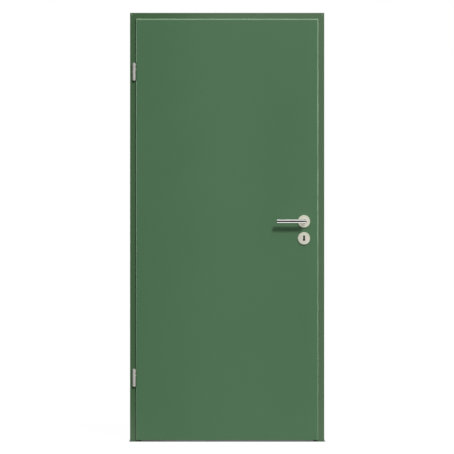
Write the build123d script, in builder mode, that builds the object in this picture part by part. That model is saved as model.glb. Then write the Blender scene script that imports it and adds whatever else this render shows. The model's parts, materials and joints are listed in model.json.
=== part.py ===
from build123d import *
import os

os.makedirs("parts", exist_ok=True)

# Interior door: a rebated flush leaf on two lift-off hinges, in a folded steel frame that wraps the wall.
# X runs across the opening, Y from the side the leaf opens towards into the wall, Z up, in millimetres.
# The origin is the middle of the opening at floor level, in the wall's front plane.

# Leaf, measured over its overlapping lip
leaf_width = 860.0
leaf_height = 1985.0
leaf_thickness = 40.0
lip_width = 13.0
lip_thickness = 14.5
lip_round = 8.0
back_edge_bevel = 1.0
floor_gap = 7.0
skin_thickness = 3.2
stile_width = 45.0
rail_width = 45.0
tube_radius = 12.0
tube_pitch = 31.0
lock_block_width = 90.0
lock_block_height = 320.0

# Frame profile, folded from one sheet
sheet = 1.5
bend_outside = 2.5
bend_inside = 1.0
frame_gap = 3.5
head_gap = 4.0
lip_gap = 1.5
face_width = 37.5
rebate_depth = 28.0
stop_width = 15.0
groove_width = 5.0
groove_depth = 7.0
return_depth = 15.0
wall_thickness = 145.0
wall_gap = 22.0
mitre_gap = 0.3

# Corner brackets, seal and wall fixings
bracket_sheet = 2.0
bracket_leg = 70.0
bracket_width = 80.0
seal_gap = 0.3
seal_reach = 5.0
fixing_radius = 4.5
sleeve_radius = 8.0

# Hinges
hinge_drop = 241.0
hinge_lift = 293.0
hinge_clear = 1.0
knuckle_radius = 7.5
knuckle_length = 41.0
knuckle_bevel = 1.5
pin_radius = 4.0
pin_reach = 34.0
pin_bevel = 1.0
pin_clearance = 0.05
bush_wall = 1.5
bush_flange = 1.0
peg_radius = 4.0
peg_length = 44.0
peg_spacing = 20.0
tongue_thickness = 3.0
tongue_height = 30.0
tongue_reach = 27.0
pocket_wall = 5.0
pocket_clearance = 0.2
clamp_screw_radius = 4.0
clamp_screw_spacing = 18.0
clamp_access_clearance = 0.5

# Mortise lock
lock_height = 1037.0
backset = 55.0
key_drop = 72.0
case_depth = 88.0
case_height = 165.0
case_rise = 47.0
case_thickness = 15.5
case_sheet = 1.5
case_round = 3.0
post_radius = 3.5
post_inset = 8.0
cover_screw_radius = 1.5
faceplate_width = 20.0
faceplate_height = 235.0
faceplate_thickness = 3.0
faceplate_screw_inset = 12.0
faceplate_screw_radius = 2.0
faceplate_screw_head_radius = 4.0
faceplate_screw_length = 30.0
mortise_clearance = 0.4

# Follower, latch and bolt
follower_radius = 9.5
follower_boss_radius = 8.4
follower_clearance = 0.08
arm_reach = 17.0
arm_tip_radius = 3.0
arm_thickness = 4.0
latch_thickness = 12.0
latch_height = 32.0
latch_length = 29.0
latch_throw = 12.0
latch_tip = 2.5
latch_tail_height = 8.0
latch_hook_width = 6.8
latch_hook_drop = 11.0
slide_clearance = 0.3
bolt_thickness = 10.0
bolt_height = 36.0
bolt_length = 24.0
bolt_throw = 14.0
bolt_rise = 16.0
bolt_tail_length = 52.0
bolt_tail_height = 20.0
bolt_tail_thickness = 6.0
bolt_set_back = 0.5
talon_width = 9.0
talon_height = 6.0
detent_depth = 2.5
detent_half_width = 3.0
spring_sheet = 0.6
spring_width = 6.0
spring_bend = 3.0
spring_post_radius = 3.0

# Strike openings in the lock jamb and the box behind them
strike_clearance = 1.5
strike_box_wall = 1.2
strike_box_margin = 6.0

# Lever handle, roses and keyhole
spindle_size = 8.0
spindle_clearance = 0.1
lever_radius = 9.5
lever_length = 129.0
lever_standoff = 48.0
lever_tip_bevel = 1.2
collar_radius = 12.0
collar_thickness = 3.0
collar_chamfer = 0.8
socket_depth = 28.0
grub_radius = 2.5
grub_sink = 1.0
grub_setback = 9.0
rose_radius = 29.0
rose_height = 9.0
rose_bevel = 2.0
rose_wall = 1.2
rose_base_height = 5.5
rose_hole_clearance = 0.4
key_rose_drop = 80.0
key_rose_bore = 13.5
rose_bolt_spread = 19.0
rose_bolt_radius = 2.0
rose_bolt_clearance = 0.5
rose_bolt_head_radius = 4.0
rose_bolt_head = 2.4
key_head_radius = 5.2
key_waist = 6.6
key_waist_drop = 4.2
key_foot_radius = 5.4
key_foot_drop = 15.0

# Overrun of every cut, and the play of pieces that are pressed or glued in
overrun = 1.0
fit_gap = 0.03

# Planes across the leaf and frame
lip_edge = leaf_width / 2
leaf_edge = lip_edge - lip_width
rebate_edge = leaf_edge + frame_gap
clear_edge = rebate_edge - stop_width
outer_edge = rebate_edge + face_width
wall_edge = rebate_edge + wall_gap
stile_edge = leaf_edge - stile_width

# Levels
leaf_bottom = floor_gap
leaf_top = leaf_bottom + leaf_height
leaf_rebate_top = leaf_top - lip_width
rebate_top = leaf_rebate_top + head_gap
clear_top = rebate_top - stop_width
outer_top = rebate_top + face_width
rail_top = leaf_rebate_top - rail_width
rail_bottom = leaf_bottom + rail_width

# Planes through the thickness
face_y = -return_depth
stop_y = face_y + rebate_depth
groove_y = stop_y + groove_depth
back_y = wall_thickness + return_depth
lip_back_y = face_y - lip_gap
leaf_front_y = lip_back_y - lip_thickness
leaf_back_y = leaf_front_y + leaf_thickness
leaf_middle_y = (leaf_front_y + leaf_back_y) / 2
core_front_y = leaf_front_y + skin_thickness
core_back_y = leaf_back_y - skin_thickness
fixing_y = (face_y + stop_y) / 2

# Hinge axis
hinge_x = -(lip_edge + hinge_clear + knuckle_radius)
hinge_y = face_y - hinge_clear - knuckle_radius
hinge_heights = {
    "upper": rebate_top - hinge_drop,
    "lower": leaf_bottom + hinge_lift,
}

# Lock places
spindle_x = leaf_edge - backset
key_height = lock_height - key_drop
key_rose_height = lock_height - key_rose_drop
lock_y = leaf_back_y - (leaf_thickness - lip_thickness) / 2
case_front_x = leaf_edge - faceplate_thickness
case_back_x = case_front_x - case_depth
case_top = lock_height + case_rise
case_bottom = case_top - case_height
case_front_y = lock_y - case_thickness / 2
case_back_y = lock_y + case_thickness / 2
cover_y = case_back_y - case_sheet
case_floor_y = case_front_y + case_sheet
case_inside_x = case_back_x + case_sheet
case_middle_height = (case_top + case_bottom) / 2
latch_bottom = lock_height
latch_top = latch_bottom + latch_height
bolt_middle_height = key_height + bolt_rise
bolt_bottom = bolt_middle_height - bolt_height / 2
bolt_top = bolt_middle_height + bolt_height / 2
bolt_front_x = leaf_edge - bolt_set_back
bolt_tail_x = bolt_front_x - bolt_length - bolt_tail_length


def across_x(x):
    """The plane at one X, with the larger X on its upper side."""
    return Plane((x, 0, 0), z_dir=(1, 0, 0))


def across_y(y):
    """The plane at one Y, with the larger Y on its upper side."""
    return Plane((0, y, 0), z_dir=(0, 1, 0))


def across_z(z):
    """The plane at one level, with what is higher on its upper side."""
    return Plane((0, 0, z), z_dir=(0, 0, 1))


def facing_front(x, y, z):
    """A plane that faces the opening side, with X across and Z up."""
    return Plane((x, y, z), x_dir=(1, 0, 0), z_dir=(0, -1, 0))


def slab(x_span, y_span, z_span, mode=Mode.ADD):
    """A block between two limits on each axis, in the part that is being built."""
    spans = (x_span, y_span, z_span)
    with Locations(tuple((low + high) / 2 for low, high in spans)):
        Box(*[high - low for low, high in spans], mode=mode)


def rods(points, toward, radius, length, mode=Mode.ADD):
    """Round rods, or holes, of one length from each point along a direction."""
    with Locations(*[Plane(point, z_dir=toward) for point in points]):
        Cylinder(radius, length, align=(Align.CENTER, Align.CENTER, Align.MIN), mode=mode)


def strip(plane, points, bend, thickness, width):
    """A folded strip: a bent line thickened to one side and extruded both ways across a plane."""
    with BuildSketch(plane) as outline:
        with BuildLine():
            FilletPolyline(*points, radius=bend)
            offset(amount=thickness, side=Side.RIGHT)
        make_face()
    extrude(outline.sketch, amount=width / 2, both=True)


def finish(piece, name):
    """Labels a finished piece and writes its file."""
    piece.part.label = name
    export_step(piece.part, f"parts/{name}.step")


# Frame: three members of one profile, mitred where they meet


def frame_profile(plane):
    """The folded section: front return, face, rebate with seal groove, stop, reveal, back face and return."""
    with BuildSketch(plane) as profile:
        with BuildLine():
            FilletPolyline(
                (outer_edge, 0),
                (outer_edge, face_y),
                (rebate_edge, face_y),
                (rebate_edge, groove_y),
                (rebate_edge - groove_width, groove_y),
                (rebate_edge - groove_width, stop_y),
                (clear_edge, stop_y),
                (clear_edge, back_y),
                (outer_edge, back_y),
                (outer_edge, wall_thickness),
                radius=[bend_outside] * 2 + [bend_inside] * 2 + [bend_outside] * 4,
            )
            offset(amount=sheet, side=Side.RIGHT)
        make_face()
    return profile.sketch


head_plane = Plane((0, 0, rebate_top - rebate_edge), x_dir=(0, 0, 1), z_dir=(-1, 0, 0))
lock_mitre = Plane((clear_edge, 0, clear_top), z_dir=(1, 0, -1))
hinge_mitre = Plane((-clear_edge, 0, clear_top), z_dir=(-1, 0, -1))
held_heights = [0, hinge_heights["lower"], lock_height, hinge_heights["upper"], rebate_top]
fixing_heights = [(low + high) / 2 for low, high in zip(held_heights, held_heights[1:])]


def jamb_blank():
    """The lock side's jamb with its wall-fixing holes, before the cuts for hinges or strikes."""
    with BuildPart() as blank:
        extrude(frame_profile(Plane.XY), amount=outer_top)
        split(bisect_by=lock_mitre.offset(mitre_gap / 2), keep=Keep.TOP)
        fixings = [(rebate_edge - overrun, fixing_y, z) for z in fixing_heights]
        rods(fixings, (1, 0, 0), fixing_radius, sheet + 2 * overrun, Mode.SUBTRACT)
    return blank.part


plain_jamb = jamb_blank()
strike_depth = sheet + 2 * overrun
latch_y_span = (
    lock_y - latch_thickness / 2 - strike_clearance,
    lock_y + latch_thickness / 2 + strike_clearance,
)
bolt_y_span = (
    lock_y - bolt_thickness / 2 - strike_clearance,
    lock_y + bolt_thickness / 2 + strike_clearance,
)
latch_strike = (latch_bottom - strike_clearance, latch_top + strike_clearance)
bolt_strike = (bolt_bottom - strike_clearance, bolt_top + strike_clearance)

with BuildPart() as lock_jamb:
    add(plain_jamb)
    strike_x = (rebate_edge - overrun, rebate_edge - overrun + strike_depth)
    slab(strike_x, latch_y_span, latch_strike, Mode.SUBTRACT)
    slab(strike_x, bolt_y_span, bolt_strike, Mode.SUBTRACT)
finish(lock_jamb, "lock_jamb")

tongue_half_slot = tongue_thickness / 2 + pocket_clearance
tongue_drop = bush_flange + (knuckle_length - tongue_height) / 2
clamp_y = face_y + rebate_depth / 2


def tongue_span(z, clearance=0.0):
    """The tongue's levels on the hinge whose dividing line is at z."""
    return (z - tongue_drop - tongue_height - clearance, z - tongue_drop + clearance)


def clamp_heights(z):
    """The levels of the two clamp screws of a hinge."""
    middle = z - tongue_drop - tongue_height / 2
    return [middle - clamp_screw_spacing / 2, middle + clamp_screw_spacing / 2]


with BuildPart() as hinge_jamb:
    add(plain_jamb)
    mirror(about=Plane.YZ, mode=Mode.REPLACE)
    for level in hinge_heights.values():
        slab(
            (hinge_x - tongue_half_slot, hinge_x + tongue_half_slot),
            (face_y - overrun, face_y + sheet + overrun),
            tongue_span(level, pocket_clearance),
            Mode.SUBTRACT,
        )
        access = [(-rebate_edge + overrun, clamp_y, z) for z in clamp_heights(level)]
        access_radius = clamp_screw_radius + clamp_access_clearance
        rods(access, (-1, 0, 0), access_radius, sheet + 2 * overrun, Mode.SUBTRACT)
finish(hinge_jamb, "hinge_jamb")

with BuildPart() as frame_head:
    extrude(frame_profile(head_plane), amount=outer_edge, both=True)
    split(bisect_by=lock_mitre.offset(-mitre_gap / 2), keep=Keep.BOTTOM)
    split(bisect_by=hinge_mitre.offset(-mitre_gap / 2), keep=Keep.BOTTOM)
finish(frame_head, "frame_head")

# Corner brackets: angles welded round the corner, in the frame's hollow

bracket_y = (stop_y + back_y) / 2
bracket_x = clear_edge + sheet
bracket_z = clear_top + sheet

with BuildPart() as lock_corner_bracket:
    strip(
        facing_front(0, bracket_y, 0),
        [
            (bracket_x, bracket_z - bracket_leg),
            (bracket_x, bracket_z),
            (bracket_x - bracket_leg, bracket_z),
        ],
        [0],
        bracket_sheet,
        bracket_width,
    )
finish(lock_corner_bracket, "lock_corner_bracket")

with BuildPart() as hinge_corner_bracket:
    add(lock_corner_bracket.part)
    mirror(about=Plane.YZ, mode=Mode.REPLACE)
finish(hinge_corner_bracket, "hinge_corner_bracket")

# Seal: a foot in the groove and a bulb that the leaf closes against


def seal_profile(plane):
    """The seal's section, one arch over a foot, beside the rebate's wall."""
    foot_out = rebate_edge - seal_gap
    foot_in = rebate_edge - groove_width + seal_gap
    bulb_in = foot_in - seal_reach
    bulb_y = leaf_back_y + seal_gap
    with BuildSketch(plane) as profile:
        with BuildLine():
            Polyline(
                (bulb_in, stop_y),
                (foot_in, stop_y),
                (foot_in, groove_y - seal_gap),
                (foot_out, groove_y - seal_gap),
                (foot_out, stop_y),
            )
            ThreePointArc((foot_out, stop_y), ((foot_out + bulb_in) / 2, bulb_y), (bulb_in, stop_y))
        make_face()
    return profile.sketch


with BuildPart() as lock_side_seal:
    extrude(seal_profile(Plane.XY), amount=outer_top)
    split(bisect_by=lock_mitre.offset(mitre_gap / 2), keep=Keep.TOP)
finish(lock_side_seal, "lock_side_seal")

with BuildPart() as hinge_side_seal:
    add(lock_side_seal.part)
    mirror(about=Plane.YZ, mode=Mode.REPLACE)
finish(hinge_side_seal, "hinge_side_seal")

with BuildPart() as head_seal:
    extrude(seal_profile(head_plane), amount=outer_edge, both=True)
    split(bisect_by=lock_mitre.offset(-mitre_gap / 2), keep=Keep.BOTTOM)
    split(bisect_by=hinge_mitre.offset(-mitre_gap / 2), keep=Keep.BOTTOM)
finish(head_seal, "head_seal")

# Wall fixings: spacer sleeves welded behind the holes, long enough to reach the wall

with BuildPart() as wall_sleeves:
    for side in (1, -1):
        starts = [(side * (rebate_edge + sheet), fixing_y, z) for z in fixing_heights]
        sleeve_length = wall_edge - rebate_edge - sheet
        rods(starts, (side, 0, 0), sleeve_radius, sleeve_length)
        rods(starts, (side, 0, 0), fixing_radius, sleeve_length, Mode.SUBTRACT)
finish(wall_sleeves, "wall_sleeves")

# Strike box: a plastic cover behind the latch and bolt openings

strike_box_y = (latch_y_span[0] - strike_box_wall, latch_y_span[1] + strike_box_wall)
strike_box_z = (bolt_strike[0] - strike_box_margin, latch_strike[1] + strike_box_margin)
strike_box_x = rebate_edge + sheet

with BuildPart() as strike_box:
    slab((strike_box_x, wall_edge), strike_box_y, strike_box_z)
    offset(amount=-strike_box_wall, openings=strike_box.faces().sort_by(Axis.X)[0])
finish(strike_box, "strike_box")

# Hinges: the frame part below with its pin, the leaf part above with its bush


def knuckle(z, upward):
    """A knuckle's plain body on the hinge axis, from the dividing line at z up or down to a bevelled end."""
    rise = 1 if upward else -1
    start = z if upward else z - bush_flange
    end = rise * knuckle_length
    with BuildSketch(facing_front(hinge_x, hinge_y, start)) as half:
        with BuildLine():
            Polyline(
                (0, 0),
                (knuckle_radius, 0),
                (knuckle_radius, end - rise * knuckle_bevel),
                (knuckle_radius - knuckle_bevel, end),
                (0, end),
                (0, 0),
            )
        make_face()
    revolve(half.sketch, axis=Axis((hinge_x, hinge_y, start), (0, 0, 1)))


pocket_x = (-wall_edge, -rebate_edge - sheet)
pocket_y = (face_y + sheet, face_y + tongue_reach + pocket_wall)
tongue_y = (hinge_y + (pin_radius + knuckle_radius) / 2, face_y + tongue_reach)
peg_drop = (knuckle_length - peg_spacing) / 2
peg_start_x = hinge_x + (pin_radius + knuckle_radius) / 2
peg_end_x = hinge_x + knuckle_radius + peg_length
bush_radius = pin_radius + pin_clearance + bush_wall
bush_bore = pin_reach + bush_flange

for name, level in hinge_heights.items():
    lower_face = level - bush_flange

    with BuildPart() as hinge_frame_part:
        knuckle(level, upward=False)
        slab((hinge_x - tongue_thickness / 2, hinge_x + tongue_thickness / 2), tongue_y, tongue_span(level))
        rods([(hinge_x, hinge_y, lower_face)], (0, 0, -1), pin_radius + fit_gap, pin_reach, Mode.SUBTRACT)
    finish(hinge_frame_part, f"{name}_hinge_frame_part")

    with BuildPart() as hinge_pin:
        rods([(hinge_x, hinge_y, lower_face - pin_reach)], (0, 0, 1), pin_radius, 2 * pin_reach)
        chamfer(hinge_pin.edges().filter_by(GeomType.CIRCLE), length=pin_bevel)
    finish(hinge_pin, f"{name}_hinge_pin")

    with BuildPart() as hinge_pocket:
        slab(pocket_x, pocket_y, tongue_span(level, pocket_wall))
        fillet(hinge_pocket.faces().sort_by(Axis.Y)[0].edges().sort_by(Axis.X)[-1], radius=bend_outside)
        slab(
            (hinge_x - tongue_half_slot, hinge_x + tongue_half_slot),
            (face_y, face_y + tongue_reach + pocket_clearance),
            tongue_span(level, pocket_clearance),
            Mode.SUBTRACT,
        )
        clamps = [(pocket_x[1] + overrun, clamp_y, z) for z in clamp_heights(level)]
        clamp_bore = pocket_x[1] - hinge_x + overrun
        rods(clamps, (-1, 0, 0), clamp_screw_radius + fit_gap, clamp_bore, Mode.SUBTRACT)
    finish(hinge_pocket, f"{name}_hinge_pocket")

    with BuildPart() as hinge_leaf_part:
        knuckle(level, upward=True)
        pegs = [(peg_start_x, hinge_y, level + peg_drop + peg_spacing * i) for i in range(2)]
        rods(pegs, (1, 0, 0), peg_radius, peg_end_x - peg_start_x)
        rods([(hinge_x, hinge_y, level)], (0, 0, 1), bush_radius + fit_gap, bush_bore, Mode.SUBTRACT)
    finish(hinge_leaf_part, f"{name}_hinge_leaf_part")

    with BuildPart() as hinge_bush:
        rods([(hinge_x, hinge_y, lower_face)], (0, 0, 1), knuckle_radius, bush_flange)
        rods([(hinge_x, hinge_y, level)], (0, 0, 1), bush_radius, bush_bore)
        pin_bore = [(hinge_x, hinge_y, lower_face)]
        rods(pin_bore, (0, 0, 1), pin_radius + pin_clearance, bush_bore, Mode.SUBTRACT)
    finish(hinge_bush, f"{name}_hinge_bush")

with BuildPart() as hinge_clamp_screws:
    for level in hinge_heights.values():
        clamp_length = -rebate_edge - sheet - hinge_x - tongue_thickness / 2
        heads = [(-rebate_edge - sheet, clamp_y, z) for z in clamp_heights(level)]
        rods(heads, (-1, 0, 0), clamp_screw_radius, clamp_length)
finish(hinge_clamp_screws, "hinge_clamp_screws")

# Leaf: one blank with its lip on three sides, cut into skins, stiles and rails

with BuildPart() as leaf_blank:
    slab((-leaf_edge, leaf_edge), (leaf_front_y, leaf_back_y), (leaf_bottom, leaf_rebate_top))
    slab((-lip_edge, lip_edge), (leaf_front_y, lip_back_y), (leaf_bottom, leaf_top))
    front_edges = leaf_blank.faces().sort_by(Axis.Y)[0].edges().sort_by(Axis.Z)
    fillet(front_edges[1:], radius=lip_round)
    back_edges = leaf_blank.faces().sort_by(Axis.Y)[-1].edges()
    chamfer(back_edges, length=back_edge_bevel)

handle_bore = collar_radius
rose_bolt_places = [
    (spindle_x + side * rose_bolt_spread, z) for z in (lock_height, key_rose_height) for side in (1, -1)
]


def bore_for_fittings(y_span):
    """The holes that the handle, the key and the rose bolts need through a layer of the leaf."""
    depth = y_span[1] - y_span[0] + 2 * overrun
    y = y_span[0] - overrun
    rods([(spindle_x, y, lock_height)], (0, 1, 0), handle_bore, depth, Mode.SUBTRACT)
    rods([(spindle_x, y, key_rose_height)], (0, 1, 0), key_rose_bore, depth, Mode.SUBTRACT)
    bolts = [(x, y, z) for x, z in rose_bolt_places]
    rods(bolts, (0, 1, 0), rose_bolt_radius + rose_bolt_clearance, depth, Mode.SUBTRACT)


def faceplate_outline(clearance):
    """The faceplate's round-ended outline, on the leaf's rebate edge."""
    plane = Plane((leaf_edge, lock_y, case_middle_height), x_dir=(0, 0, 1), z_dir=(-1, 0, 0))
    with BuildSketch(plane) as outline:
        SlotOverall(faceplate_height + 2 * clearance, faceplate_width + 2 * clearance)
    return outline.sketch


def recess_faceplate():
    """The shallow recess of the faceplate, in a layer of the leaf that it crosses."""
    extrude(faceplate_outline(fit_gap), amount=faceplate_thickness, mode=Mode.SUBTRACT)
    extrude(faceplate_outline(fit_gap), amount=-overrun, mode=Mode.SUBTRACT)


with BuildPart() as front_skin:
    add(leaf_blank.part)
    split(bisect_by=across_y(core_front_y), keep=Keep.BOTTOM)
    bore_for_fittings((leaf_front_y, core_front_y))
finish(front_skin, "front_skin")

with BuildPart() as back_skin:
    add(leaf_blank.part)
    split(bisect_by=across_y(core_back_y), keep=Keep.TOP)
    bore_for_fittings((core_back_y, leaf_back_y))
    recess_faceplate()
finish(back_skin, "back_skin")

with BuildPart() as leaf_middle:
    add(leaf_blank.part)
    split(bisect_by=across_y(core_front_y), keep=Keep.TOP)
    split(bisect_by=across_y(core_back_y), keep=Keep.BOTTOM)

with BuildPart() as hinge_stile:
    add(leaf_middle.part)
    split(bisect_by=across_x(-stile_edge), keep=Keep.BOTTOM)
    for level in hinge_heights.values():
        pegs = [(-lip_edge - overrun, hinge_y, level + peg_drop + peg_spacing * i) for i in range(2)]
        peg_depth = peg_end_x + lip_edge + overrun + fit_gap
        rods(pegs, (1, 0, 0), peg_radius + fit_gap, peg_depth, Mode.SUBTRACT)
finish(hinge_stile, "hinge_stile")

mortise_x = (case_back_x - mortise_clearance, leaf_edge + overrun)
mortise_y = (case_front_y - mortise_clearance, case_back_y + mortise_clearance)
mortise_z = (case_bottom - mortise_clearance, case_top + mortise_clearance)
faceplate_screw_heights = [
    case_middle_height + side * (faceplate_height / 2 - faceplate_screw_inset) for side in (1, -1)
]

with BuildPart() as lock_stile:
    add(leaf_middle.part)
    split(bisect_by=across_x(stile_edge), keep=Keep.TOP)
    slab(mortise_x, mortise_y, mortise_z, Mode.SUBTRACT)
    recess_faceplate()
    pilots = [(leaf_edge, lock_y, z) for z in faceplate_screw_heights]
    pilot_depth = faceplate_screw_length + overrun
    rods(pilots, (-1, 0, 0), faceplate_screw_radius + fit_gap, pilot_depth, Mode.SUBTRACT)
    bolts = [(x, core_front_y - overrun, z) for x, z in rose_bolt_places if x > stile_edge]
    bolt_hole = rose_bolt_radius + rose_bolt_clearance
    rods(bolts, (0, 1, 0), bolt_hole, core_back_y - core_front_y + 2 * overrun, Mode.SUBTRACT)
    bores = [(spindle_x, core_front_y - overrun, z) for z in (lock_height, key_rose_height)]
    rods(bores, (0, 1, 0), key_rose_bore, core_back_y - core_front_y + 2 * overrun, Mode.SUBTRACT)
finish(lock_stile, "lock_stile")

with BuildPart() as top_rail:
    add(leaf_middle.part)
    split(bisect_by=across_x(-stile_edge), keep=Keep.TOP)
    split(bisect_by=across_x(stile_edge), keep=Keep.BOTTOM)
    split(bisect_by=across_z(rail_top), keep=Keep.TOP)
finish(top_rail, "top_rail")

with BuildPart() as bottom_rail:
    add(leaf_middle.part)
    split(bisect_by=across_x(-stile_edge), keep=Keep.TOP)
    split(bisect_by=across_x(stile_edge), keep=Keep.BOTTOM)
    split(bisect_by=across_z(rail_bottom), keep=Keep.BOTTOM)
finish(bottom_rail, "bottom_rail")

lock_block_x = (stile_edge - lock_block_width, stile_edge)
lock_block_z = (
    case_middle_height - lock_block_height / 2,
    case_middle_height + lock_block_height / 2,
)

with BuildPart() as lock_block:
    slab(lock_block_x, (core_front_y, core_back_y), lock_block_z)
    slab(mortise_x, mortise_y, mortise_z, Mode.SUBTRACT)
    bore_for_fittings((core_front_y, core_back_y))
finish(lock_block, "lock_block")

tube_count = int((2 * stile_edge - tube_pitch) // tube_pitch)

with BuildPart() as tubular_core:
    with BuildSketch(Plane.XY.offset(rail_bottom)):
        with Locations((0, (core_front_y + core_back_y) / 2)):
            Rectangle(2 * stile_edge, core_back_y - core_front_y)
            with GridLocations(tube_pitch, tube_pitch, tube_count, 1):
                Circle(tube_radius, mode=Mode.SUBTRACT)
    extrude(amount=rail_top - rail_bottom)
    slab(
        lock_block_x,
        (core_front_y - overrun, core_back_y + overrun),
        lock_block_z,
        Mode.SUBTRACT,
    )
finish(tubular_core, "tubular_core")

# Lock: a tray and its cover, behind the faceplate


def keyhole(plane, clearance=0.0):
    """A warded lock's keyhole: a round head, a waist and a flared foot, about the key's axis."""
    with BuildSketch(plane) as outline:
        Circle(key_head_radius + clearance)
        with BuildLine():
            waist = key_waist / 2 + clearance
            foot = key_foot_radius + clearance
            Polyline(
                (-waist, 0),
                (waist, 0),
                (waist, -key_waist_drop),
                (foot, -key_foot_drop),
                (-foot, -key_foot_drop),
                (-waist, -key_waist_drop),
                (-waist, 0),
            )
        make_face()
        with Locations((0, -key_foot_drop)):
            Circle(foot)
    return outline.sketch


def pierce_case(y, thickness):
    """The follower's bearing, the keyhole and the rose bolts' holes through one plate of the lock case."""
    start = y - overrun
    depth = thickness + 2 * overrun
    bearing = follower_boss_radius + follower_clearance
    rods([(spindle_x, start, lock_height)], (0, 1, 0), bearing, depth, Mode.SUBTRACT)
    extrude(keyhole(facing_front(spindle_x, start, key_height)), amount=-depth, mode=Mode.SUBTRACT)
    bolts = [(x, start, z) for x, z in rose_bolt_places]
    rods(bolts, (0, 1, 0), rose_bolt_radius + rose_bolt_clearance, depth, Mode.SUBTRACT)


post_places = [
    (x, z)
    for x in (case_back_x + post_inset, case_front_x - post_inset)
    for z in (case_bottom + post_inset, case_top - post_inset)
]
latch_window = (latch_bottom - slide_clearance, latch_top + slide_clearance)
bolt_window = (bolt_bottom - slide_clearance, bolt_top + slide_clearance)
latch_window_y = (
    lock_y - latch_thickness / 2 - slide_clearance,
    lock_y + latch_thickness / 2 + slide_clearance,
)
bolt_window_y = (
    lock_y - bolt_thickness / 2 - slide_clearance,
    lock_y + bolt_thickness / 2 + slide_clearance,
)
detent_x = bolt_tail_x + bolt_tail_length / 2 + bolt_throw / 2
spring_post = (detent_x - bolt_throw, bolt_top + bolt_throw)

with BuildPart() as lock_case:
    slab((case_back_x, case_front_x), (case_front_y, cover_y), (case_bottom, case_top))
    offset(amount=-case_sheet, openings=lock_case.faces().sort_by(Axis.Y)[-1])
    posts = [(x, case_floor_y, z) for x, z in post_places]
    rods(posts, (0, 1, 0), post_radius, cover_y - case_floor_y)
    rods(posts, (0, 1, 0), cover_screw_radius + fit_gap, cover_y - case_floor_y, Mode.SUBTRACT)
    detent_posts = [(spring_post[0], case_floor_y, spring_post[1])]
    rods(detent_posts, (0, 1, 0), spring_post_radius, cover_y - case_floor_y)
    window_x = (case_front_x - case_sheet - overrun, case_front_x + overrun)
    slab(window_x, latch_window_y, latch_window, Mode.SUBTRACT)
    slab(window_x, bolt_window_y, bolt_window, Mode.SUBTRACT)
    pierce_case(case_front_y, case_sheet)
finish(lock_case, "lock_case")

with BuildPart() as lock_cover:
    slab((case_back_x, case_front_x), (cover_y, case_back_y), (case_bottom, case_top))
    fillet(lock_cover.edges().filter_by(Axis.Y), radius=case_round)
    pierce_case(cover_y, case_sheet)
    screws = [(x, cover_y - overrun, z) for x, z in post_places]
    rods(screws, (0, 1, 0), cover_screw_radius + fit_gap, case_sheet + 2 * overrun, Mode.SUBTRACT)
finish(lock_cover, "lock_cover")

with BuildPart() as lock_cover_screws:
    shanks = [(x, case_floor_y + fit_gap, z) for x, z in post_places]
    rods(shanks, (0, 1, 0), cover_screw_radius, case_back_y - case_floor_y - fit_gap)
finish(lock_cover_screws, "lock_cover_screws")

with BuildPart() as lock_faceplate:
    extrude(faceplate_outline(0), amount=faceplate_thickness)
    plate_x = (case_front_x - overrun, leaf_edge + overrun)
    slab(plate_x, latch_window_y, latch_window, Mode.SUBTRACT)
    slab(plate_x, bolt_window_y, bolt_window, Mode.SUBTRACT)
    with Locations(*[Plane((leaf_edge, lock_y, z), z_dir=(1, 0, 0)) for z in faceplate_screw_heights]):
        CounterSinkHole(faceplate_screw_radius + fit_gap, faceplate_screw_head_radius + fit_gap)
finish(lock_faceplate, "lock_faceplate")


def countersunk(point, toward, radius, head_radius, length):
    """A countersunk screw with a flush head at a point, pointing one way."""
    side = Plane(point, x_dir=(0, 0, 1), z_dir=Vector(0, 0, 1).cross(Vector(*toward)))
    with BuildSketch(side) as half:
        with BuildLine():
            Polyline(
                (0, 0),
                (head_radius, 0),
                (radius, head_radius - radius),
                (radius, length - radius),
                (0, length),
                (0, 0),
            )
        make_face()
    revolve(half.sketch, axis=Axis(point, toward))


with BuildPart() as faceplate_screws:
    for z in faceplate_screw_heights:
        countersunk(
            (leaf_edge, lock_y, z),
            (-1, 0, 0),
            faceplate_screw_radius,
            faceplate_screw_head_radius,
            faceplate_screw_length,
        )
finish(faceplate_screws, "faceplate_screws")

# Follower: a disc on the spindle whose arm draws the latch

inside_middle_y = (case_floor_y + cover_y) / 2

with BuildPart() as follower:
    with BuildSketch(facing_front(spindle_x, inside_middle_y, lock_height)) as disc:
        Circle(follower_radius)
    extrude(disc.sketch, amount=(cover_y - case_floor_y) / 2 - slide_clearance, both=True)
    with BuildSketch(facing_front(spindle_x, inside_middle_y, lock_height)) as bosses:
        Circle(follower_boss_radius)
    extrude(bosses.sketch, amount=case_thickness / 2, both=True)
    with BuildSketch(facing_front(spindle_x, lock_y, lock_height)) as arm:
        with Locations((0, arm_reach / 2)):
            SlotCenterToCenter(arm_reach, 2 * arm_tip_radius, rotation=90)
    extrude(arm.sketch, amount=arm_thickness / 2, both=True)
    slab(
        (
            spindle_x - spindle_size / 2 - spindle_clearance,
            spindle_x + spindle_size / 2 + spindle_clearance,
        ),
        (case_front_y - overrun, case_back_y + overrun),
        (
            lock_height - spindle_size / 2 - spindle_clearance,
            lock_height + spindle_size / 2 + spindle_clearance,
        ),
        Mode.SUBTRACT,
    )
finish(follower, "follower")

# Latch: a bevelled head, and a tail whose hook stands in front of the follower's arm

latch_front_x = leaf_edge + latch_throw
latch_back_x = latch_front_x - latch_length
latch_front_y = lock_y - latch_thickness / 2
latch_rear_y = lock_y + latch_thickness / 2
hook_x = spindle_x - arm_tip_radius - slide_clearance
tail_bottom = lock_height + arm_reach + arm_tip_radius + slide_clearance
tail_top = tail_bottom + latch_tail_height

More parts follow.
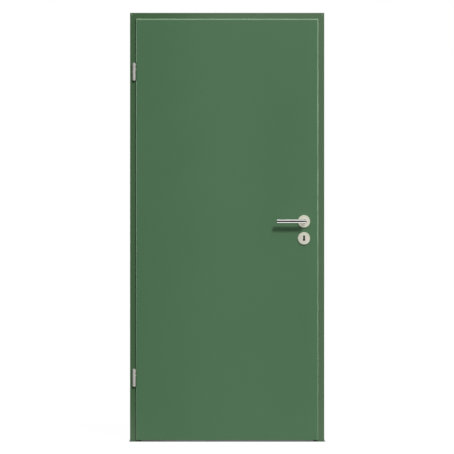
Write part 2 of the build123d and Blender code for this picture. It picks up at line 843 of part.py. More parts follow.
with BuildPart() as latch_bolt:
    with BuildSketch(Plane.XY.offset(latch_bottom)) as head:
        with BuildLine():
            Polyline(
                (latch_back_x, latch_front_y),
                (latch_front_x, latch_front_y),
                (latch_front_x, latch_front_y + latch_tip),
                (leaf_edge, latch_rear_y),
                (latch_back_x, latch_rear_y),
                (latch_back_x, latch_front_y),
            )
        make_face()
    extrude(head.sketch, amount=latch_height)
    with BuildSketch(facing_front(0, lock_y, 0)) as tail:
        with BuildLine():
            Polyline(
                (latch_back_x + overrun, tail_bottom),
                (hook_x, tail_bottom),
                (hook_x, tail_bottom - latch_hook_drop),
                (hook_x - latch_hook_width, tail_bottom - latch_hook_drop),
                (hook_x - latch_hook_width, tail_top),
                (latch_back_x + overrun, tail_top),
                (latch_back_x + overrun, tail_bottom),
            )
        make_face()
    extrude(tail.sketch, amount=arm_thickness / 2, both=True)
finish(latch_bolt, "latch_bolt")

# Dead bolt: a plain head, and a tail with the key's talon below and two detent notches above

bolt_head_back_x = bolt_front_x - bolt_length
bolt_tail_bottom = bolt_top - bolt_tail_height
talon_x = spindle_x

with BuildPart() as dead_bolt:
    slab(
        (bolt_head_back_x, bolt_front_x),
        (lock_y - bolt_thickness / 2, lock_y + bolt_thickness / 2),
        (bolt_bottom, bolt_top),
    )
    with BuildSketch(facing_front(0, lock_y, 0)) as tail:
        with BuildLine():
            Polyline(
                (bolt_head_back_x + overrun, bolt_tail_bottom),
                (talon_x + talon_width / 2, bolt_tail_bottom),
                (talon_x + talon_width / 2, bolt_tail_bottom + talon_height),
                (talon_x - talon_width / 2, bolt_tail_bottom + talon_height),
                (talon_x - talon_width / 2, bolt_tail_bottom),
                (bolt_tail_x, bolt_tail_bottom),
                (bolt_tail_x, bolt_top),
                (bolt_head_back_x + overrun, bolt_top),
                (bolt_head_back_x + overrun, bolt_tail_bottom),
            )
        make_face()
        for x in (detent_x, detent_x - bolt_throw):
            with BuildLine():
                Polyline(
                    (x - detent_half_width, bolt_top),
                    (x, bolt_top - detent_depth),
                    (x + detent_half_width, bolt_top),
                    (x - detent_half_width, bolt_top),
                )
            make_face(mode=Mode.SUBTRACT)
    extrude(tail.sketch, amount=bolt_tail_thickness / 2, both=True)
finish(dead_bolt, "dead_bolt")

# Springs: bent strips, one behind the latch's hook and one whose nose drops into the bolt's notch

latch_spring_x = case_inside_x + slide_clearance
latch_spring_end_x = hook_x - latch_hook_width - slide_clearance

with BuildPart() as latch_spring:
    strip(
        facing_front(0, lock_y, 0),
        [
            (latch_spring_end_x, tail_top),
            (latch_spring_x + spring_bend, tail_bottom - latch_hook_drop),
            (latch_spring_x, tail_top),
        ],
        spring_bend,
        spring_sheet,
        spring_width,
    )
finish(latch_spring, "latch_spring")

with BuildPart() as bolt_detent_spring:
    post_top = spring_post[1] + spring_post_radius + fit_gap
    strip(
        facing_front(0, lock_y, 0),
        [
            (spring_post[0] - spring_post_radius, post_top + spring_sheet),
            (spring_post[0] + spring_post_radius, post_top + spring_sheet),
            (detent_x, bolt_top - detent_depth / 2 + spring_sheet),
            (detent_x + detent_half_width, bolt_top + detent_depth),
        ],
        spring_sheet,
        spring_sheet,
        spring_width,
    )
finish(bolt_detent_spring, "bolt_detent_spring")

# Roses: a base behind a thin bevelled cover, on each face of the leaf

middle_plane = across_y(leaf_middle_y)


def rose_cover(z):
    """A plain cover, open at the back, before its hole is cut."""
    with BuildPart() as cover:
        with BuildSketch(facing_front(spindle_x, leaf_front_y, z)):
            Circle(rose_radius)
        extrude(amount=rose_height)
        chamfer(cover.faces().sort_by(Axis.Y)[0].edges(), length=rose_bevel)
        offset(amount=-rose_wall, openings=cover.faces().sort_by(Axis.Y)[-1])
    return cover.part


def rose_base(z, bore):
    """A base disc with a bore, and holes for its two bolts."""
    with BuildPart() as base:
        with BuildSketch(facing_front(spindle_x, leaf_front_y, z)):
            Circle(rose_radius - rose_wall - fit_gap)
            Circle(bore, mode=Mode.SUBTRACT)
            with GridLocations(2 * rose_bolt_spread, 0, 2, 1):
                Circle(rose_bolt_radius + fit_gap, mode=Mode.SUBTRACT)
        extrude(amount=rose_base_height)
        sockets = [
            (spindle_x + side * rose_bolt_spread, leaf_front_y - rose_base_height, z) for side in (1, -1)
        ]
        rods(sockets, (0, 1, 0), rose_bolt_head_radius + fit_gap, rose_bolt_head, Mode.SUBTRACT)
    return base.part


def write_pair(piece, front_name, back_name):
    """Writes a piece of the front fitting, and its mirror image on the back of the leaf."""
    finish(piece, front_name)
    with BuildPart() as reflected:
        add(piece.part)
        mirror(about=middle_plane, mode=Mode.REPLACE)
    finish(reflected, back_name)


with BuildPart() as handle_rose:
    add(rose_cover(lock_height))
    neck_hole = [(spindle_x, leaf_front_y, lock_height)]
    rods(neck_hole, (0, -1, 0), lever_radius + rose_hole_clearance, rose_height + overrun, Mode.SUBTRACT)
write_pair(handle_rose, "front_handle_rose", "back_handle_rose")

with BuildPart() as handle_rose_base:
    add(rose_base(lock_height, lever_radius + rose_hole_clearance))
write_pair(handle_rose_base, "front_handle_rose_base", "back_handle_rose_base")

with BuildPart() as key_rose:
    add(rose_cover(key_rose_height))
    key_cut = keyhole(facing_front(spindle_x, leaf_front_y, key_height))
    extrude(key_cut, amount=rose_height + overrun, mode=Mode.SUBTRACT)
write_pair(key_rose, "front_key_rose", "back_key_rose")

with BuildPart() as key_rose_base:
    add(rose_base(key_rose_height, key_rose_bore))
write_pair(key_rose_base, "front_key_rose_base", "back_key_rose_base")

with BuildPart() as rose_bolts:
    bolt_start_y = leaf_front_y - rose_base_height
    bolt_end_y = leaf_back_y + rose_base_height
    shanks = [(x, bolt_start_y, z) for x, z in rose_bolt_places]
    rods(shanks, (0, 1, 0), rose_bolt_radius, bolt_end_y - bolt_start_y)
    for end_y, inward in ((bolt_start_y, 1), (bolt_end_y, -1)):
        heads = [(x, end_y, z) for x, z in rose_bolt_places]
        rods(heads, (0, inward, 0), rose_bolt_head_radius, rose_bolt_head)
finish(rose_bolts, "rose_bolts")

# Levers: a round bar mitred to its neck, on a square spindle

neck_start_y = leaf_front_y - fit_gap
bar_y = leaf_front_y - lever_standoff
grub_y = leaf_front_y - rose_height - grub_setback

with BuildPart() as lever:
    with BuildLine(Plane.XY.offset(lock_height)) as bar_line:
        Polyline(
            (spindle_x, neck_start_y),
            (spindle_x, bar_y),
            (spindle_x - lever_length, bar_y),
        )
    with BuildSketch(facing_front(spindle_x, neck_start_y, lock_height)):
        Circle(lever_radius)
    sweep(path=bar_line.line, transition=Transition.RIGHT)
    chamfer(lever.faces().sort_by(Axis.X)[0].edges(), length=lever_tip_bevel)
    collar_y = leaf_front_y - rose_height - rose_hole_clearance
    with BuildSketch(facing_front(spindle_x, collar_y, lock_height)) as ring:
        Circle(collar_radius)
    extrude(ring.sketch, amount=collar_thickness)
    collar_edge = lever.edges().filter_by(GeomType.CIRCLE).filter_by(
        lambda edge: abs(edge.radius - collar_radius) < fit_gap
    )
    chamfer(collar_edge.sort_by(Axis.Y)[0], length=collar_chamfer)
    with BuildSketch(facing_front(spindle_x, neck_start_y, lock_height)) as socket:
        Rectangle(spindle_size + 2 * spindle_clearance, spindle_size + 2 * spindle_clearance)
    extrude(socket.sketch, amount=socket_depth, mode=Mode.SUBTRACT)
    grub_hole = [(spindle_x, grub_y, lock_height)]
    rods(grub_hole, (0, 0, -1), grub_radius + fit_gap, 2 * lever_radius, Mode.SUBTRACT)
write_pair(lever, "front_lever", "back_lever")

with BuildPart() as spindle:
    with BuildSketch(facing_front(spindle_x, leaf_middle_y, lock_height)):
        Rectangle(spindle_size, spindle_size)
    spindle_half = leaf_middle_y - neck_start_y + socket_depth - fit_gap
    extrude(amount=spindle_half, both=True)
finish(spindle, "spindle")

with BuildPart() as lever_grub_screws:
    grub_top = lock_height - spindle_size / 2
    grub_length = lever_radius - spindle_size / 2 - grub_sink
    for y in (grub_y, 2 * leaf_middle_y - grub_y):
        rods([(spindle_x, y, grub_top)], (0, 0, -1), grub_radius, grub_length)
finish(lever_grub_screws, "lever_grub_screws")
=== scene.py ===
"""Looks of the interior door: materials, floor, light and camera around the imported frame, in metres."""

import json
import math

import bmesh
import bpy
from mathutils import Matrix, Vector


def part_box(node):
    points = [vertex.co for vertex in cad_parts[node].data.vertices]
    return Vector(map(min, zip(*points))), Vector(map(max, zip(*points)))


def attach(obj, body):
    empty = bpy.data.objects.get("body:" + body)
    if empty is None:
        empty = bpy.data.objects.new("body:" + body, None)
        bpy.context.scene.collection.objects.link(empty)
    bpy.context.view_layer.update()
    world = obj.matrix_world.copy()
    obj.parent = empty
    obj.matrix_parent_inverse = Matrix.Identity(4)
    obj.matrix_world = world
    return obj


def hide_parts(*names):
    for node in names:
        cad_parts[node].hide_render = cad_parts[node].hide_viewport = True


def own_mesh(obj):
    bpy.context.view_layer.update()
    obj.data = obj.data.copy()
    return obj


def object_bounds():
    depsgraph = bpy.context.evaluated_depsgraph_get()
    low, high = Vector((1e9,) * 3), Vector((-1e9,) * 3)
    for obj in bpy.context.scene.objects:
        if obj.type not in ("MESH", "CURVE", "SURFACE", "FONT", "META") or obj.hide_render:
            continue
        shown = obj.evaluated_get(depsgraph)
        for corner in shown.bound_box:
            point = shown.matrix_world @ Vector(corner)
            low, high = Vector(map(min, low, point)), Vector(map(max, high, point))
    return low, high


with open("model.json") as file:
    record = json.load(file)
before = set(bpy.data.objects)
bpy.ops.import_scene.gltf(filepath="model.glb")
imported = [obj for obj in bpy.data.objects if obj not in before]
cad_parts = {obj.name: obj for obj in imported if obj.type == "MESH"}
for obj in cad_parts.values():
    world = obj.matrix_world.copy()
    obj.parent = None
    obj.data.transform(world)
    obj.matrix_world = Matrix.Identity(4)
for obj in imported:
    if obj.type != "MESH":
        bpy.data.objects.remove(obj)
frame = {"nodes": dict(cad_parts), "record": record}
cad_low, cad_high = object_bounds()


def box_middle(node):
    """The middle of a node's box."""
    low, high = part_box(node)
    return (low + high) / 2


# Places taken from the frame
leaf_face_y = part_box("front_skin")[0].y
lever_front_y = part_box("front_lever")[0].y
lever_back_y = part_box("back_lever")[1].y
lever_middle = box_middle("front_lever")
rose_centre = box_middle("front_handle_rose")
key_rose_centre = box_middle("front_key_rose")
lock_case_middle = box_middle("lock_case")

# Directions, and the turn that sets the keyhole's shade disc and the camera upright
right = (1.0, 0.0, 0.0)
left = (-1.0, 0.0, 0.0)
down = (0.0, 0.0, -1.0)
upright = (math.radians(90.0), 0.0, 0.0)

# Colours, linear
leaf_green = (0.0767, 0.1686, 0.0838)
frame_green = (0.0615, 0.135, 0.0595)
steel_warm = (0.88, 0.87, 0.74)
steel_bright = (0.93, 0.92, 0.89)
steel_plated = (0.52, 0.51, 0.47)
zinc_grey = (0.52, 0.53, 0.55)
pine_light = (0.62, 0.43, 0.24)
pine_dark = (0.44, 0.27, 0.13)
chip_light = (0.60, 0.44, 0.26)
chip_dark = (0.33, 0.22, 0.12)
rubber_dark = (0.020, 0.024, 0.021)
nylon_white = (0.74, 0.73, 0.69)
plastic_black = (0.018, 0.018, 0.018)
white = (1.0, 1.0, 1.0)
black = (0.0, 0.0, 0.0)

# Finishes: scales per metre, depths in metres, and shares of the colour at a noise's low and high end
usual_ior = 1.45
plastic_ior = 1.5
plain_detail = 2.0
noise_reach = (0.3, 0.7)
cloud_scale = 3.0
cloud_detail = 4.0
paint_shares = (0.985, 1.015)
paint_gloss_spread = 0.04
peel_depth = 0.00004
grain_scale = 90.0
grain_stretch = (1.0, 1.0, 0.06)
grain_detail = 6.0
grain_reach = (0.35, 0.65)
grain_roughness = (0.75, 0.65)
grain_depth = 0.0003
flake_scale = 320.0
flake_reach = (0.1, 0.8)
flake_roughness = (0.75, 0.9)
flake_depth = 0.0006
satin_metallic = 0.8
ring_scale = 2200.0
ring_shares = (0.94, 1.04)
ring_roughness = (0.25, 0.35)
ring_depth = 0.00002
line_scale = 900.0
line_detail = 3.0
line_shares = (0.95, 1.03)
line_gloss_spread = 0.03
line_depth = 0.00001
lines_along_x = (0.02, 1.0, 1.0)
lines_along_z = (1.0, 1.0, 0.02)
crystal_scale = 140.0
crystal_reach = (0.0, 1.0)
crystal_shares = (0.88, 1.08)
crystal_roughness = (0.32, 0.46)
skin_scale = 1500.0
skin_shares = (0.9, 1.1)
skin_gloss_spread = 0.05

# View: the photograph's frame on the leaf's face, and a long lens
view_width = 2.138
camera_distance = 12.0
camera_height = 1.0103
camera_offset = -0.0007
sensor_width_mm = 36.0

# Key lamp: its direction follows the lever's shadow, which lies below and left of the bar
shadow_left = 0.018
shadow_down = 0.038
lever_standoff = 0.048
key_travel = (-shadow_left, lever_standoff, -shadow_down)
key_strength = 2.25
key_softness_deg = 9.0

# Back lamp, from behind the hinge side, and the even sky
back_travel = (0.6, -0.8, -0.1)
back_strength = 1.6
back_softness_deg = 20.0
sky_strength = 0.4

# Lamps in the leaf's plane, one for each rounded lip: the way that the light travels, and its strength
lip_lamps = {
    "top_lamp": (down, 2.0),
    "lock_side_lamp": (left, 2.6),
    "hinge_side_lamp": (right, 1.5),
}
lip_softness_deg = 10.0

# Floor: its grey, how bright that is lit, and the share of plain white in the open and over the door's
# footprint, where little white leaves a painted shade patch
floor_grey = (0.20, 0.20, 0.20)
floor_size = 60.0
floor_drop = 0.0005
floor_roughness = 0.9
floor_cloud_scale = 2.0
floor_shares = (0.98, 1.02)
floor_lit = 0.16
open_share = 0.85
# Over the door's footprint the floor gets little white, a painted shade patch on top of the real shadow
shade_patch_share = 0.05
shade_patch_reach = 0.008

# Dark cards that polished metal and gloss paint show
bar_card_width = 0.22
bar_card_height = 1.9
bar_card_distance = 1.0
side_card_x = (-2.2, -0.2)
side_card_z = (-0.5, 2.8)
side_card_distance = 1.0
edge_card_front_y = (-1.2, -0.45)
edge_card_back_y = (-0.15, 1.0)
edge_card_height = 3.0
edge_card_distance = 1.2

# Painted shade: a thin black disc inside the lock that keeps the keyhole dark
shade_disc_radius = 0.0128
shade_disc_thickness = 0.0008
shade_disc_sides = 48

# Screws and their drives
screw_slot = "zinc_steel"
weld_distance = 0.000005
cross_length = 0.0046
cross_width = 0.0011
clamp_drive_radius = 0.0023
grub_drive_radius = 0.00145
drive_depth = 0.002


class Nodes:
    """A material or world's node tree, with short calls to add and join nodes."""

    def __init__(self, owner):
        owner.use_nodes = True
        self.tree = owner.node_tree

    def find(self, kind):
        """The tree's first node of a kind."""
        return next(node for node in self.tree.nodes if node.bl_idname == kind)

    def put(self, socket, value):
        """Joins an output to a socket, or sets a plain value or colour on it."""
        if isinstance(value, bpy.types.NodeSocket):
            self.tree.links.new(value, socket)
        elif socket.type == "RGBA":
            socket.default_value = (*value, 1.0)
        else:
            socket.default_value = value

    def put_all(self, node, **inputs):
        """Sets or joins a node's inputs by name, with _ for a space."""
        for key, value in inputs.items():
            self.put(node.inputs[key.replace("_", " ")], value)

    def add(self, kind, settings=None, **inputs):
        """A new node. Settings are its own properties, and inputs are as above."""
        made = self.tree.nodes.new(kind)
        for key, value in (settings or {}).items():
            setattr(made, key, value)
        self.put_all(made, **inputs)
        return made

    def operate(self, kind, operation, first, second):
        """A new node for sums on two numbers or two vectors: its outputs."""
        made = self.add(kind, {"operation": operation})
        self.put(made.inputs[0], first)
        self.put(made.inputs[1], second)
        return made.outputs

    def math(self, operation, first, second=0.0):
        return self.operate("ShaderNodeMath", operation, first, second)["Value"]

    def vector_math(self, operation, first, second):
        return self.operate("ShaderNodeVectorMath", operation, first, second)

    def ramp(self, factor, stops):
        """A colour ramp through two (place, colour) stops."""
        made = self.add("ShaderNodeValToRGB", Fac=factor)
        for point, (place, colour) in zip(made.color_ramp.elements, stops):
            point.position = place
            point.color = (*colour, 1.0)
        return made.outputs["Color"]

    def between(self, factor, low, high):
        """A number that runs from low to high as the factor runs from 0 to 1."""
        return self.add("ShaderNodeMapRange", Value=factor, To_Min=low, To_Max=high).outputs["Result"]

    def mix(self, factor, first, second):
        """A mix of two shaders, joined to the tree's output."""
        made = self.add("ShaderNodeMixShader", Fac=factor)
        self.put(made.inputs[1], first)
        self.put(made.inputs[2], second)
        ends = ("ShaderNodeOutputMaterial", "ShaderNodeOutputWorld")
        output = next(node for node in self.tree.nodes if node.bl_idname in ends)
        self.put(output.inputs["Surface"], made.outputs["Shader"])


def in_scene(name, data):
    """A new object in the scene for a mesh, lamp or camera."""
    made = bpy.data.objects.new(name, data)
    bpy.context.scene.collection.objects.link(made)
    return made


def shade(colour, share):
    """A colour made darker or lighter by a share of itself."""
    return tuple(channel * share for channel in colour)


def tones(colour, shares, reach=noise_reach):
    """Two ramp stops: a colour's darker and lighter share at the ends of a noise's reach."""
    return [(place, shade(colour, share)) for place, share in zip(reach, shares)]


def spread_about(middle, spread):
    """The numbers that lie a spread below and above a middle."""
    return (middle - spread, middle + spread)


def surface(name, **constants):
    """A new material, its nodes, its shader with constants on the sockets, and object coordinates."""
    material = bpy.data.materials.new(name)
    nodes = Nodes(material)
    shader = nodes.find("ShaderNodeBsdfPrincipled")
    nodes.put_all(shader, **constants)
    place = nodes.add("ShaderNodeTexCoord").outputs["Object"]
    return material, nodes, shader, place


def stretched(nodes, place, scale):
    """Coordinates scaled by a number for each axis, so that a noise lies along one of them."""
    return nodes.add("ShaderNodeMapping", Vector=place, Scale=scale).outputs["Vector"]


def noise(nodes, place, scale, detail=plain_detail):
    """A cloudy noise from 0 to 1."""
    return nodes.add("ShaderNodeTexNoise", Vector=place, Scale=scale, Detail=detail).outputs["Fac"]


def cells(nodes, place, scale):
    """Cells of random tone: each one's tone, and the distance from its middle."""
    made = nodes.add("ShaderNodeTexVoronoi", Vector=place, Scale=scale)
    split = nodes.add("ShaderNodeSeparateColor", Color=made.outputs["Color"])
    return split.outputs["Red"], made.outputs["Distance"]


def dress(nodes, shader, factor, stops, roughness):
    """A colour through ramp stops and a roughness between two ends, both led by one factor."""
    base = nodes.ramp(factor, stops)
    nodes.put_all(shader, Base_Color=base, Roughness=nodes.between(factor, *roughness))


def bump(nodes, shader, height, depth):
    """Relief of a depth from a height that runs from 0 to 1."""
    made = nodes.add("ShaderNodeBump", Height=height, Distance=depth, Strength=1.0)
    nodes.put_all(shader, Normal=made.outputs["Normal"])


def paint(name, colour, roughness, sheen, peel_scale):
    """Satin paint: a nearly even colour, cloudy gloss and a fine orange peel."""
    material, nodes, shader, place = surface(name, IOR=usual_ior, Specular_IOR_Level=sheen)
    cloud = noise(nodes, place, cloud_scale, cloud_detail)
    dress(nodes, shader, cloud, tones(colour, paint_shares), spread_about(roughness, paint_gloss_spread))
    bump(nodes, shader, noise(nodes, place, peel_scale), peel_depth)
    return material


def raw_wood(name):
    """Raw wood: grain drawn out along Z."""
    material, nodes, shader, place = surface(name, IOR=usual_ior)
    grain = noise(nodes, stretched(nodes, place, grain_stretch), grain_scale, grain_detail)
    dress(nodes, shader, grain, zip(grain_reach, (pine_dark, pine_light)), grain_roughness)
    bump(nodes, shader, grain, grain_depth)
    return material


def chipboard(name):
    """Pressed chips: pale and dark flakes of random tone."""
    material, nodes, shader, place = surface(name, IOR=usual_ior)
    tone, distance = cells(nodes, place, flake_scale)
    dress(nodes, shader, tone, zip(flake_reach, (chip_dark, chip_light)), flake_roughness)
    bump(nodes, shader, distance, flake_depth)
    return material


def turned_steel(name, centre):
    """Satin steel turned on a lathe: fine rings round an axis along Y."""
    material, nodes, shader, place = surface(name, Metallic=satin_metallic, IOR=usual_ior)
    across_y = (1.0, 0.0, 1.0)
    flat = nodes.vector_math("MULTIPLY", place, across_y)["Vector"]
    axis = nodes.add("ShaderNodeCombineXYZ", X=centre.x, Z=centre.z).outputs["Vector"]
    radius = nodes.vector_math("DISTANCE", flat, axis)["Value"]
    rings = nodes.add("ShaderNodeTexNoise", {"noise_dimensions": "1D"}, W=radius, Scale=ring_scale)
    groove = rings.outputs["Fac"]
    dress(nodes, shader, groove, tones(steel_warm, ring_shares), ring_roughness)
    bump(nodes, shader, groove, ring_depth)
    return material


def drawn_steel(name, colour, roughness, stretch, metallic):
    """Steel with fine lines along one axis, from drawing or brushing."""
    material, nodes, shader, place = surface(name, Metallic=metallic, IOR=usual_ior)
    lines = noise(nodes, stretched(nodes, place, stretch), line_scale, line_detail)
    dress(nodes, shader, lines, tones(colour, line_shares), spread_about(roughness, line_gloss_spread))
    bump(nodes, shader, lines, line_depth)
    return material


def zinc_plate(name):
    """Zinc plating: a dull grey with a faint crystal pattern."""
    material, nodes, shader, place = surface(name, Metallic=1.0, IOR=usual_ior)
    tone, _ = cells(nodes, place, crystal_scale)
    dress(nodes, shader, tone, tones(zinc_grey, crystal_shares, crystal_reach), crystal_roughness)
    return material


def moulded(name, colour, roughness, sheen, skin_depth):
    """Moulded plastic or rubber: a matt skin with a fine grain."""
    material, nodes, shader, place = surface(name, IOR=plastic_ior, Specular_IOR_Level=sheen)
    grain = noise(nodes, place, skin_scale)
    dress(nodes, shader, grain, tones(colour, skin_shares), spread_about(roughness, skin_gloss_spread))
    bump(nodes, shader, grain, skin_depth)
    return material


slot_materials = {
    "frame_paint": paint("frame_paint", frame_green, roughness=0.28, sheen=0.7, peel_scale=260.0),
    "leaf_lacquer": paint("leaf_lacquer", leaf_green, roughness=0.35, sheen=0.3, peel_scale=420.0),
    "raw_wood": raw_wood("raw_wood"),
    "chipboard": chipboard("chipboard"),
    "satin_steel": drawn_steel(
        "satin_steel", steel_warm, roughness=0.38, stretch=lines_along_z, metallic=satin_metallic
    ),
    "polished_steel": drawn_steel(
        "polished_steel", steel_bright, roughness=0.06, stretch=lines_along_x, metallic=1.0
    ),
    "zinc_steel": zinc_plate("zinc_steel"),
    "seal_rubber": moulded("seal_rubber", rubber_dark, roughness=0.65, sheen=0.3, skin_depth=0.00003),
    "nylon": moulded("nylon", nylon_white, roughness=0.5, sheen=0.5, skin_depth=0.00001),
    "black_plastic": moulded("black_plastic", plastic_black, roughness=0.7, sheen=0.1, skin_depth=0.00002),
}
hinge_steel = drawn_steel("hinge_steel", steel_plated, roughness=0.5, stretch=lines_along_z, metallic=0.2)
handle_rose_steel = turned_steel("handle_rose_steel", rose_centre)
key_rose_steel = turned_steel("key_rose_steel", key_rose_centre)
node_materials = {
    "front_handle_rose": handle_rose_steel,
    "back_handle_rose": handle_rose_steel,
    "front_key_rose": key_rose_steel,
    "back_key_rose": key_rose_steel,
    "upper_hinge_frame_part": hinge_steel,
    "lower_hinge_frame_part": hinge_steel,
    "upper_hinge_leaf_part": hinge_steel,
    "lower_hinge_leaf_part": hinge_steel,
}


def dress_nodes():
    """Gives each CAD node its own material, or else its slot's."""
    for part in frame["record"]["subparts"]:
        material = node_materials.get(part["node"], slot_materials[part["material_slot"]])
        mesh = frame["nodes"][part["node"]].data
        mesh.materials.clear()
        mesh.materials.append(material)


def seen_rays(nodes):
    """1 for what the camera, metal and glass see, and 0 for light on its way to the door."""
    path = nodes.add("ShaderNodeLightPath").outputs
    shiny = nodes.math("MAXIMUM", path["Is Glossy Ray"], path["Is Transmission Ray"])
    return nodes.math("MAXIMUM", path["Is Camera Ray"], shiny)


def white_share(nodes, distance, foot):
    """The share of plain white at a distance from the door's middle: less of it at the door's foot, which
    leaves the grey floor there as a painted shade patch.
    """
    made = nodes.add(
        "ShaderNodeMapRange",
        {"interpolation_type": "SMOOTHSTEP"},
        Value=distance,
        From_Min=foot,
        From_Max=foot + shade_patch_reach,
        To_Min=shade_patch_share,
        To_Max=open_share,
    )
    return made.outputs["Result"]


def floor_white():
    """A floor that is plain white where it is seen. Over the door's footprint its grey shows: there it
    keeps the door's real shadow, and is also a painted shade patch where light falls.
    """
    material, nodes, shader, place = surface("floor_white", Roughness=floor_roughness)
    cloud = noise(nodes, place, floor_cloud_scale)
    nodes.put_all(shader, Base_Color=nodes.ramp(cloud, tones(floor_grey, floor_shares)))
    foot_middle = (leaf_face_y + cad_high.y) / 2
    axes = nodes.add("ShaderNodeSeparateXYZ", Vector=place).outputs
    aside = nodes.math("ABSOLUTE", axes["X"])
    ahead = nodes.math("ABSOLUTE", nodes.math("SUBTRACT", axes["Y"], foot_middle))
    share_x = white_share(nodes, aside, cad_high.x)
    share_y = white_share(nodes, ahead, cad_high.y - foot_middle)
    share = nodes.math("MAXIMUM", share_x, share_y)
    glow = (1.0 - (1.0 - open_share) * floor_lit) / open_share
    plain = nodes.add("ShaderNodeEmission", Color=white, Strength=glow)
    seen_share = nodes.math("MULTIPLY", seen_rays(nodes), share)
    nodes.mix(seen_share, shader.outputs["BSDF"], plain.outputs["Emission"])
    return material


def make_floor():
    """A wide floor just under the door."""
    bpy.ops.mesh.primitive_plane_add(size=floor_size, location=(0.0, 0.0, cad_low.z - floor_drop))
    floor = bpy.context.object
    floor.name = "floor"
    floor.data.materials.append(floor_white())


def make_world():
    """An even sky that is plain white where it is seen."""
    world = bpy.data.worlds.new("studio")
    bpy.context.scene.world = world
    nodes = Nodes(world)
    sky = nodes.find("ShaderNodeBackground")
    nodes.put_all(sky, Color=white, Strength=sky_strength)
    plain = nodes.add("ShaderNodeBackground", Color=white, Strength=1.0)
    nodes.mix(seen_rays(nodes), sky.outputs["Background"], plain.outputs["Background"])


def make_sun(name, travel, strength, softness_deg):
    """A soft distant lamp whose light travels along a direction."""
    lamp = bpy.data.lights.new(name, "SUN")
    lamp.energy = strength
    lamp.angle = math.radians(softness_deg)
    sun = in_scene(name, lamp)
    sun.rotation_mode = "QUATERNION"
    sun.rotation_quaternion = Vector(travel).to_track_quat("-Z", "Y")
    return sun


def make_lip_lamps():
    """Lamps that draw a light line along each lip. They light the leaf's lacquer alone."""
    lacquered = bpy.data.collections.new("lacquered")
    for part in frame["record"]["subparts"]:
        if part["material_slot"] == "leaf_lacquer":
            lacquered.objects.link(frame["nodes"][part["node"]])
    for name, (travel, strength) in lip_lamps.items():
        lamp = make_sun(name, travel, strength, lip_softness_deg)
        lamp.light_linking.receiver_collection = lacquered


def make_dark_card(name, xs, ys, zs):
    """A dark upright card from a low to a high end on each axis, which only shiny surfaces show."""
    low, high = zip(xs, ys)
    corners = [(*low, zs[0]), (*high, zs[0]), (*high, zs[1]), (*low, zs[1])]
    mesh = bpy.data.meshes.new(name)
    mesh.from_pydata(corners, [], [range(len(corners))])
    card = in_scene(name, mesh)
    material = bpy.data.materials.new(name)
    nodes = Nodes(material)
    nodes.put_all(nodes.find("ShaderNodeBsdfPrincipled"), Base_Color=black, Specular_IOR_Level=0.0)
    mesh.materials.append(material)
    card.visible_camera = False
    card.visible_diffuse = False
    card.visible_transmission = False
    card.visible_shadow = False


def make_bar_cards():
    """A narrow card before each lever, for the dark band along it."""
    bar_x = spread_about(lever_middle.x, bar_card_width / 2)
    bar_z = spread_about(rose_centre.z, bar_card_height / 2)
    front_y = lever_front_y - bar_card_distance
    back_y = lever_back_y + bar_card_distance
    make_dark_card("front_bar_card", bar_x, (front_y, front_y), bar_z)
    make_dark_card("back_bar_card", bar_x, (back_y, back_y), bar_z)


def make_side_cards():
    """A wide card on the hinge side of each face, for the paint and the metal seen at a slant."""
    front_y = leaf_face_y - side_card_distance
    back_y = cad_high.y + side_card_distance
    make_dark_card("front_side_card", side_card_x, (front_y, front_y), side_card_z)
    make_dark_card("back_side_card", side_card_x, (back_y, back_y), side_card_z)


def make_edge_cards():
    """Cards beside the door's two edges. A light gap between the lock side's two shows in the lever."""
    lock_x = cad_high.x + edge_card_distance
    hinge_x = cad_low.x - edge_card_distance
    edge_z = spread_about(rose_centre.z, edge_card_height / 2)
    make_dark_card("lock_front_card", (lock_x, lock_x), edge_card_front_y, edge_z)
    make_dark_card("lock_back_card", (lock_x, lock_x), edge_card_back_y, edge_z)
    make_dark_card("hinge_back_card", (hinge_x, hinge_x), edge_card_back_y, edge_z)


def welded(mesh):
    """An editable copy of a CAD mesh whose faces share their corners."""
    shell = bmesh.new()
    shell.from_mesh(mesh)
    bmesh.ops.remove_doubles(shell, verts=shell.verts, dist=weld_distance)
    return shell


def mesh_object(name, shell):
    """A new object in the scene from an edited mesh."""
    mesh = bpy.data.meshes.new(name)
    shell.to_mesh(mesh)
    shell.free()
    return in_scene(name, mesh)


def head_places(shell, outward):
    """The middle of each separate screw's end face, on the side that points outward."""
    places = []
    waiting = set(shell.verts)
    while waiting:
        group = [waiting.pop()]
        for corner in group:
            joined = {edge.other_vert(corner) for edge in corner.link_edges} & waiting
            waiting -= joined
            group.extend(joined)
        reach = max(corner.co.dot(outward) for corner in group)
        spans = [[corner.co[axis] for corner in group] for axis in range(3)]
        middle = Vector([(min(span) + max(span)) / 2 for span in spans])
        places.append(middle + outward * (reach - middle.dot(outward)))
    return places


def turned_about(corners, count):
    """Corners repeated at even turns about the middle, in order, as one closed outline."""
    turns = [Matrix.Rotation(math.tau * index / count, 2) for index in range(count)]
    return [turn @ Vector(corner) for turn in turns for corner in corners]


def cross_outline():
    """The cross of a cross-head drive: one arm's corners and the inner corner after it, four times."""
    half = cross_width / 2
    arm = cross_length / 2
    return turned_about([(arm, -half), (arm, half), (half, half)], 4)


def hex_outline(radius):
    """The six corners of a hexagon drive."""
    return turned_about([(radius, 0.0)], 6)


def add_peg(shell, place, outline):
    """A straight peg of one outline that reaches the drive's depth to both sides of a place."""
    low, high = [
        [shell.verts.new(place @ Vector((*corner, z))) for corner in outline]
        for z in (-drive_depth, drive_depth)
    ]
    shell.faces.new(low[::-1])
    shell.faces.new(high)
    for index in range(len(outline)):
        shell.faces.new((low[index - 1], low[index], high[index], high[index - 1]))


def cut_away(piece, tool):
    """Cuts a tool's shape out of a piece, and removes the tool."""
    cut = piece.modifiers.new("drives", "BOOLEAN")
    cut.object = tool
    cut.solver = "EXACT"
    shaped = piece.evaluated_get(bpy.context.evaluated_depsgraph_get())
    piece.data = bpy.data.meshes.new_from_object(shaped)
    piece.modifiers.clear()
    bpy.data.objects.remove(tool)


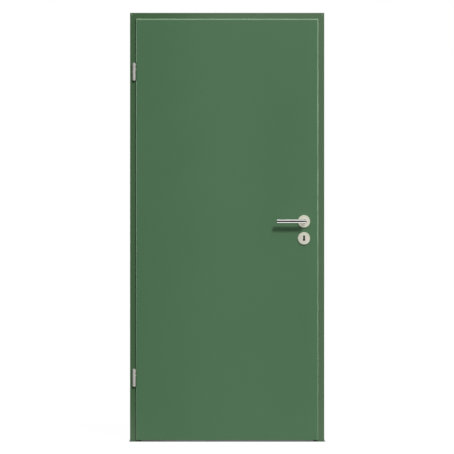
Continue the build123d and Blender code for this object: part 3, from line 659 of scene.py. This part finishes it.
def sink_drives(node, body, direction, outline):
    """Screws with a drive cut into each head, which stand for the plain CAD screws."""
    outward = Vector(direction)
    shell = welded(frame["nodes"][node].data)
    turn = outward.to_track_quat("Z", "Y").to_matrix().to_4x4()
    tools = bmesh.new()
    for place in head_places(shell, outward):
        add_peg(tools, Matrix.Translation(place) @ turn, outline)
    screws = mesh_object(node + "_driven", shell)
    cut_away(screws, mesh_object(node + "_tool", tools))
    screws.data.materials.clear()
    screws.data.materials.append(slot_materials[screw_slot])
    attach(screws, body)
    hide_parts(node)


def make_latch_spring():
    """The latch's leaf spring, which in the lock closes up against the case as the latch is drawn back.
    Here it is a welded copy of the CAD spring on the leaf, with a mesh of its own.
    """
    spring = mesh_object("latch_leaf_spring", welded(frame["nodes"]["latch_spring"].data))
    spring.data.materials.append(slot_materials["zinc_steel"])
    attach(spring, "leaf")
    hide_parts("latch_spring")
    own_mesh(spring)


def make_keyhole_shade_disc():
    """A thin black disc inside the lock, standing in as painted shade, so that no light shows through the
    keyhole.
    """
    bpy.ops.mesh.primitive_cylinder_add(vertices=shade_disc_sides, radius=shade_disc_radius, depth=shade_disc_thickness)
    shade_disc = bpy.context.object
    shade_disc.name = "keyhole_shade_disc"
    shade_disc.rotation_euler = upright
    shade_disc.location = (key_rose_centre.x, lock_case_middle.y, key_rose_centre.z)
    shade_disc.data.materials.append(slot_materials["black_plastic"])
    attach(shade_disc, "leaf")


def make_camera():
    """A long lens square to the leaf's face, framed as the photograph."""
    lens = bpy.data.cameras.new("camera")
    lens.sensor_width = sensor_width_mm
    lens.lens = sensor_width_mm * camera_distance / view_width
    camera = in_scene("camera", lens)
    camera.location = (camera_offset, leaf_face_y - camera_distance, camera_height)
    camera.rotation_euler = upright
    bpy.context.scene.camera = camera


dress_nodes()
make_keyhole_shade_disc()
make_latch_spring()
sink_drives("faceplate_screws", "leaf", right, cross_outline())
sink_drives("hinge_clamp_screws", "frame", right, hex_outline(clamp_drive_radius))
sink_drives("lever_grub_screws", "handle", down, hex_outline(grub_drive_radius))
make_floor()
make_world()
make_sun("key_lamp", key_travel, key_strength, key_softness_deg)
make_sun("back_lamp", back_travel, back_strength, back_softness_deg)
make_lip_lamps()
make_bar_cards()
make_side_cards()
make_edge_cards()
make_camera()
bpy.context.scene.view_settings.view_transform = "Standard"
